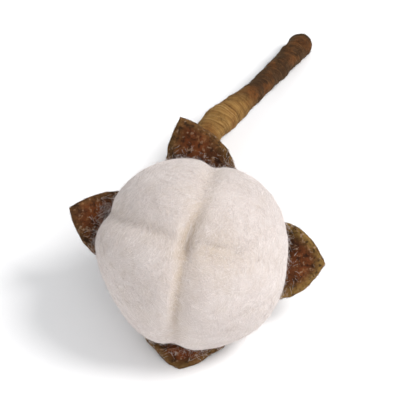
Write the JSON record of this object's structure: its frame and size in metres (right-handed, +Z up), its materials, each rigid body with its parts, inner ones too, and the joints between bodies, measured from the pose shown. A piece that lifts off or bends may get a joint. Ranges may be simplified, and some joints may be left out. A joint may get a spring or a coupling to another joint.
{
  "type": "cotton boll",
  "caption": "Felted-wool cotton boll as picked: a puffy white ball with soft creases in pointed brown sepals, lying on its side on a curved wool-wrapped stalk.",
  "frame": {"origin": "on the flat spot of the bottom sepal, on the surface that the boll lies on", "axes": "+Z up from that surface, -Y the way the boll's face looks, +X to the right of someone who looks at the face"},
  "size_m": [0.0604, 0.1236, 0.0422],
  "materials": {
    "white_wool": "matt, dense needle-felted white wool with a soft halo of stray fibres",
    "brown_felt": "matt, chocolate-brown wool felt flecked with rust and tan, paler at the rims",
    "stalk_wool": "matt, olive-brown wool wound round the stalk, mottled and slightly fuzzy"
  },
  "bodies": {
    "root": {"boll": "white_wool", "sepal_top": "brown_felt", "sepal_left": "brown_felt", "sepal_bottom": "brown_felt", "sepal_right": "brown_felt", "stalk": "stalk_wool"}
  },
  "joints": []
}
